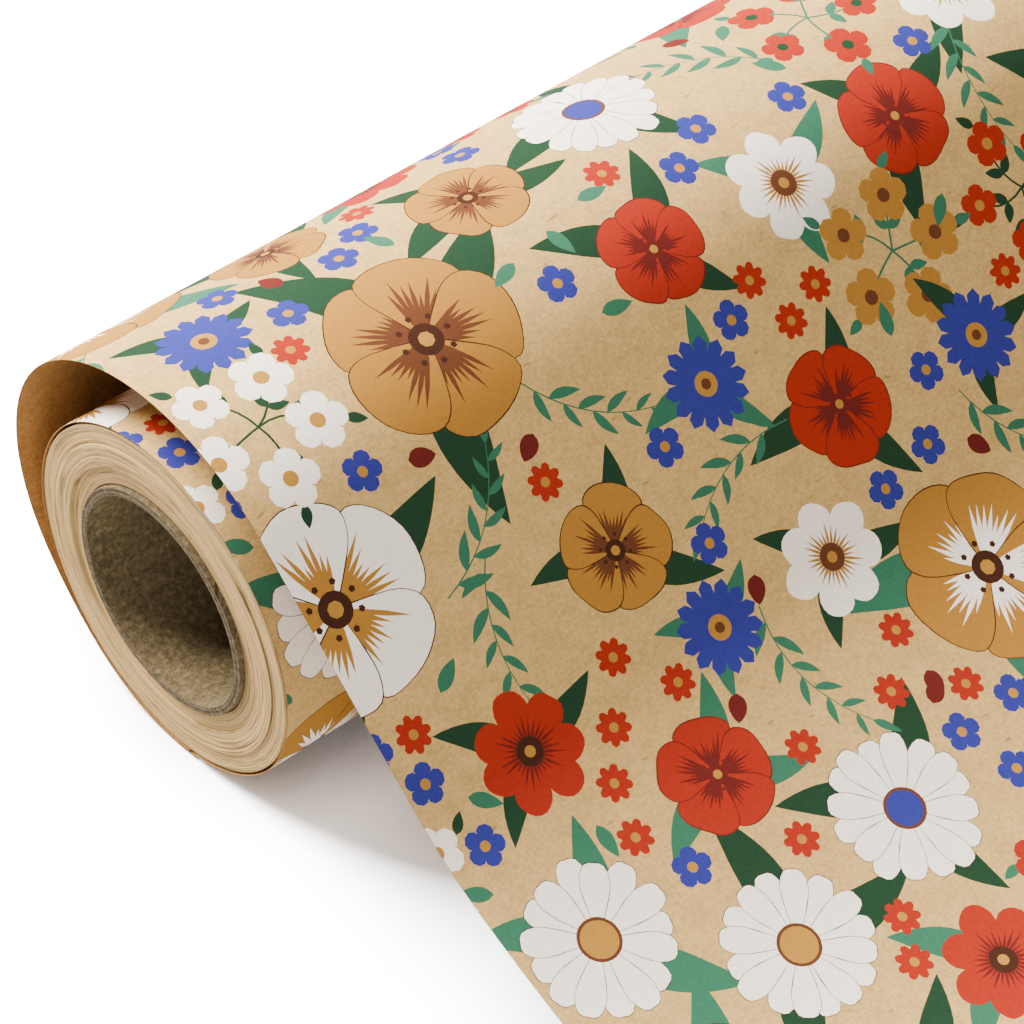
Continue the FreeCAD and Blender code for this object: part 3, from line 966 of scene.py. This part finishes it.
class WRAPROLL_OT_turns(bpy.types.Operator):
    """Build the wound bands of turns with their layered ends"""

    bl_idname = "wraproll.turns"
    bl_label = "Wound turns"

    def execute(self, context):
        """Each band is a tube whose ends stand in and out turn by turn: x is the band's end plus
        a sum of sines of the winding count of the spiral web."""
        settings = context.scene.wrap_roll
        material = wound_material(settings)
        swing = settings.telescoping / MM
        angles = np.linspace(0.0, 2.0 * math.pi, 432, endpoint=False)
        for index, (node, low, high, shift) in enumerate(BANDS):
            rows = int((high - low) / 0.1)
            radii = np.linspace(low + 0.01, high - 0.01, rows)

            def profile(a, radii=radii, shift=shift):
                r = np.repeat(radii[:, None], len(a), 1)
                count = winding(r, a[None, :])
                near = -0.5 * WEB_WIDTH + shift - swing * web_noise(count, 301, 0.02, 0.5)
                far = 0.5 * WEB_WIDTH + shift + swing * web_noise(count, 302, 0.02, 0.5)
                return np.concatenate([r, r[::-1]]), np.concatenate([near, far[::-1]])

            (piece, loops), rows2, columns = ring_solid(node + "_paper", profile, angles)
            r = np.repeat(radii[:, None], len(angles), 1)
            count = winding(r, angles[None, :])
            layer = (r - FIRST_TURN) / TURN_PITCH + 0.4 * np.sin(angles + r)
            shade = 0.96 + 0.10 * web_noise(layer, 311, 0.12, 0.48) + 0.05 * web_noise(count, 312, 0.3, 5.0)
            gaps = np.clip(web_noise(layer, 313, 0.15, 0.45) - 1.0, 0.0, 0.7)
            gaps = gaps * (0.8 + 0.6 * np.sin(angles + 2.0))
            if index == 0:
                loose = np.clip(1.0 - (r - low) / 1.6, 0.0, 1.0)
                gaps = gaps + 1.1 * loose * np.clip(web_noise(layer, 316, 0.25, 0.45) * 0.5 + 0.25, 0.0, 1.0)
            if index == 2:
                loose = np.clip((r - high + 0.9) / 0.9, 0.0, 1.0)
                gaps = gaps + 0.8 * loose * np.clip(web_noise(layer, 317, 0.25, 0.45) * 0.5 + 0.1, 0.0, 1.0)
            shade = np.clip(shade - gaps, 0.22, 1.12)
            tint = np.stack([shade, shade, shade], -1)
            if index == 2:
                wet = np.clip((r - 38.6) / 2.0, 0.0, 1.0) * (web_noise(layer, 314, 0.2, 0.45) > 0.35)
                wet = wet * np.clip(4.0 * (web_noise(count, 318, 1.0, 6.0) - 0.25), 0.0, 0.85)
                pick = web_noise(count, 315, 0.2, 2.0)[..., None]
                ink = np.where(pick > -0.7, (0.12, 0.55, 0.75), (0.9, 0.25, 0.2))
                ink = np.where(pick > 0.2, (0.10, 0.22, 1.6), ink)
                tint = tint * (1.0 - wet[..., None]) + ink * wet[..., None]
            colours = np.ones((2 * rows, len(angles), 4), np.float32)
            colours[:rows, :, :3] = tint
            colours[rows:, :, :3] = tint[::-1]
            edge = piece.data.color_attributes.new("edge", "FLOAT_COLOR", "POINT")
            edge.data.foreach_set("color", colours.ravel())
            give(piece, [material])
            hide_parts(node)
            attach(piece, "roll")
        return {"FINISHED"}


def pack_place(radius):
    """Placement of the pack's outside turn: distance -s along the web becomes an angle
    about the core, measured from -Y towards +Z, starting under the pack."""

    def place(u, s, lift):
        angle = math.radians(-80.0) - s / PACK_RADIUS
        ease = np.clip(-s / 60.0, 0.0, 1.0)
        r = radius + lift + 0.03 * np.sin(3.0 * angle) * ease + 0.02 * np.sin(0.021 * u + 2.0 * angle) * ease
        points = np.stack([u - 0.5 * WEB_WIDTH, -r * np.cos(angle), r * np.sin(angle)], -1)
        normal = np.stack([np.zeros_like(angle), -np.cos(angle), np.sin(angle)], -1)
        return points, normal

    return place


def sheet_place(wave):
    """Placement of the drawn sheet: the arc chain swept along X with gentle waves."""

    def place(u, s, lift):
        free = np.clip((s - 95.0) / 60.0, 0.0, 1.0) * np.clip((TOUCHDOWN - 20.0 - s) / 60.0, 0.0, 1.0)
        ripple = np.sin(u / 31.0 + s / 47.0) + 0.7 * np.sin(u / 57.0 - s / 39.0 + 1.3)
        ripple = ripple + 0.4 * np.sin(u / 19.0 + 2.0)
        height = wave * free * ripple * np.clip(0.35 + u / 120.0, 0.0, 1.0)
        beyond = np.clip((s - TOUCHDOWN - 4.0) / (SHEET_LENGTH - TOUCHDOWN - 4.0), 0.0, 1.0)
        arch = 2.2 * np.sin(math.pi * beyond) ** 2 * (0.8 + 0.2 * np.sin(u / 70.0))
        flat, across = sheet_path(s, lift + height + arch)
        points = np.stack([u - 0.5 * WEB_WIDTH, -flat[:, 0], flat[:, 1]], -1)
        normal = np.stack([np.zeros_like(u), -across[:, 0], across[:, 1]], -1)
        return points, normal

    return place


class WRAPROLL_OT_outside(bpy.types.Operator):
    """Build the printed outside turn of the pack"""

    bl_idname = "wraproll.outside"
    bl_label = "Outside turn"

    def execute(self, context):
        """The outside turn is the flat printed web rolled to a cylinder whose radius wanders by
        two small sines of the angle and of the distance across."""
        settings = context.scene.wrap_roll
        thick = settings.paper_thickness / MM
        low, high = PACK_SPAN
        shapes = tiled(repeat_shapes(), WEB_WIDTH, low, high, PACK_SHIFT, PACK_FINE)
        columns, rows = np.linspace(0.0, WEB_WIDTH, 28), np.linspace(low, high, 96)
        piece, side = printed_sheet(
            "outside_turn_paper", pack_place(PACK_OUTER - thick), low, high,
            columns, rows, thick, 0.0, shapes, PACK_CURVED)
        give(piece, [printed_material(settings), back_material(settings)], side)
        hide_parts("outside_turn")
        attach(piece, "roll")
        return {"FINISHED"}


class WRAPROLL_OT_sheet(bpy.types.Operator):
    """Build the drawn sheet: loose turn, slope and flat free end"""

    bl_idname = "wraproll.sheet"
    bl_label = "Drawn sheet"

    def execute(self, context):
        """The flat printed web swept along a chain of tangent arcs and lines."""
        settings = context.scene.wrap_roll
        thick = settings.paper_thickness / MM
        shapes = tiled(repeat_shapes(), WEB_WIDTH, 0.0, SHEET_LENGTH, 0.0, SHEET_FINE)
        columns, rows = np.linspace(0.0, WEB_WIDTH, 31), np.linspace(0.0, SHEET_LENGTH, 133)
        piece, side = printed_sheet(
            "drawn_paper", sheet_place(settings.wave / MM), 0.0, SHEET_LENGTH,
            columns, rows, SHEET_LIFT + thick, SHEET_LIFT, shapes, SHEET_CURVED)
        give(piece, [printed_material(settings), back_material(settings)], side)
        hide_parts("drawn_sheet", "leader")
        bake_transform(piece)
        return {"FINISHED"}


class WRAPROLL_OT_stage(bpy.types.Operator):
    """Build the pale floor, the soft lights and the camera"""

    bl_idname = "wraproll.stage"
    bl_label = "Stage"

    def execute(self, context):
        """A flat floor under the sheet, one large soft key light and a pale world."""
        mesh = bpy.data.meshes.new("floor")
        square = ((-FLOOR, -FLOOR), (FLOOR, -FLOOR), (FLOOR, FLOOR), (-FLOOR, FLOOR))
        corners = [(x, y, FLOOR_Z) for x, y in square]
        mesh.from_pydata(corners, [], [(0, 1, 2, 3)])
        ground = bpy.data.objects.new("floor", mesh)
        context.scene.collection.objects.link(ground)
        ground.data.materials.append(floor_material())
        for name, place, size, energy in LIGHTS:
            light = bpy.data.lights.new(name, "AREA")
            light.shape = "SQUARE"
            light.size = size
            light.energy = energy
            lamp = bpy.data.objects.new(name, light)
            context.scene.collection.objects.link(lamp)
            aim(lamp, place, LIT_POINT)
        world = bpy.data.worlds.new("studio")
        world.use_nodes = True
        world.node_tree.nodes["Background"].inputs[0].default_value = (1.0, 1.0, 1.0, 1.0)
        world.node_tree.nodes["Background"].inputs[1].default_value = WORLD_STRENGTH
        context.scene.world = world
        lens = bpy.data.cameras.new("camera")
        lens.lens = FOCAL_LENGTH
        lens.sensor_width = 36.0
        lens.clip_end = 20.0
        camera = bpy.data.objects.new("camera", lens)
        context.scene.collection.objects.link(camera)
        camera.matrix_world = Matrix(CAMERA_PLACE)
        context.scene.camera = camera
        return {"FINISHED"}


def aim(thing, place, target):
    """Put a lamp at a place, pointing at a target."""
    thing.location = place
    thing.rotation_euler = (Vector(target) - Vector(place)).to_track_quat("-Z", "Y").to_euler()


class WRAPROLL_PT_panel(bpy.types.Panel):
    """Sidebar panel with the roll's settings and builders"""

    bl_idname = "WRAPROLL_PT_panel"
    bl_label = "Wrapping paper roll"
    bl_space_type = "VIEW_3D"
    bl_region_type = "UI"
    bl_category = "Wrap roll"

    def draw(self, context):
        settings = context.scene.wrap_roll
        for name in WrapRollSettings.__annotations__:
            self.layout.prop(settings, name)
        for builder in BUILDERS:
            self.layout.operator(builder.bl_idname)


BUILDERS = (
    WRAPROLL_OT_core, WRAPROLL_OT_starter, WRAPROLL_OT_turns,
    WRAPROLL_OT_outside, WRAPROLL_OT_sheet, WRAPROLL_OT_stage,
)
CLASSES = (WrapRollSettings,) + BUILDERS + (WRAPROLL_PT_panel,)


def register():
    """Add the classes and the scene's settings."""
    for cls in CLASSES:
        bpy.utils.register_class(cls)
    bpy.types.Scene.wrap_roll = bpy.props.PointerProperty(type=WrapRollSettings)


def unregister():
    """Remove the scene's settings and the classes."""
    del bpy.types.Scene.wrap_roll
    for cls in reversed(CLASSES):
        bpy.utils.unregister_class(cls)


def main():
    """Register the add-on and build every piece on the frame."""
    global FRAME

    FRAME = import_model()
    register()
    for builder in BUILDERS:
        group, name = builder.bl_idname.split(".")
        getattr(getattr(bpy.ops, group), name)()


if __name__ == "__main__":
    main()
